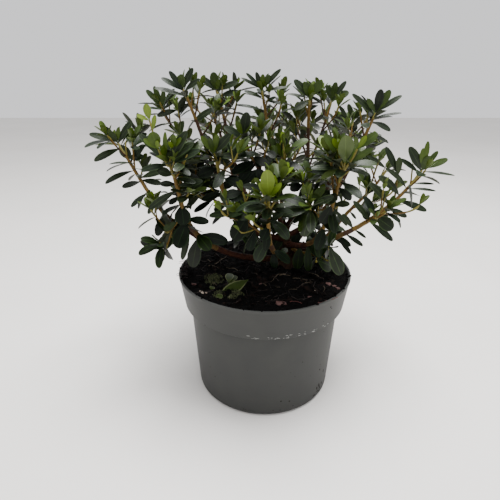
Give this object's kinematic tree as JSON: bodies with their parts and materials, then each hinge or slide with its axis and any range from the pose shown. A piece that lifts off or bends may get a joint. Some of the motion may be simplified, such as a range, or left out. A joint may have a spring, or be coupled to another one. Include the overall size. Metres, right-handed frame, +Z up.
{
  "type": "azalea shrub in a pot",
  "caption": "Small evergreen azalea shrub, not in flower, growing with open upright shoots from a short trunk in a round grey plastic nursery pot.",
  "frame": {"origin": "centre of the pot's flat underside, on the level surface that the pot stands on", "axes": "+Z up, -Y to the front of the plant, +X to its right-hand side seen from the front"},
  "size_m": [0.355, 0.2843, 0.3518],
  "materials": {
    "pot_plastic": "satin moulded polypropylene, grey with a hint of brown, scuffed pale along the band",
    "potting_mix": "loose and moist, with bark chips and a little moss",
    "old_bark": "rough, finely flaking",
    "bark": "thin, lightly furrowed, redder on old wood",
    "foliage": "leathery leaves with a soft gloss, yellow-green at the shoot tips"
  },
  "bodies": {
    "root": {"pot": "pot_plastic", "soil": "potting_mix", "trunk": "old_bark", "bough_left_low": "bark", "bough_right_low": "bark", "bough_front_low": "bark", "bough_back_left": "bark", "bough_back_right": "bark", "bough_right_front": "bark", "bough_back_mid": "bark", "bough_left_mid": "bark", "bough_right_upper": "bark", "bough_top_left": "bark", "bough_centre_front": "bark", "bough_centre_top": "bark", "bough_right_top": "bark", "bough_far_left": "bark", "bough_left_upper": "bark", "bough_right_mid": "bark", "foliage_far_left": "foliage", "foliage_left_front": "foliage", "foliage_left_upper": "foliage", "foliage_left_mid": "foliage", "foliage_top_left": "foliage", "foliage_centre_top": "foliage", "foliage_centre_front": "foliage", "foliage_front_low": "foliage", "foliage_right_top": "foliage", "foliage_right_upper": "foliage", "foliage_right_front": "foliage", "foliage_far_right": "foliage", "foliage_right_mid": "foliage", "foliage_back_left": "foliage", "foliage_back_mid": "foliage", "foliage_back_right": "foliage", "foliage_low_right": "foliage"}
  },
  "joints": []
}
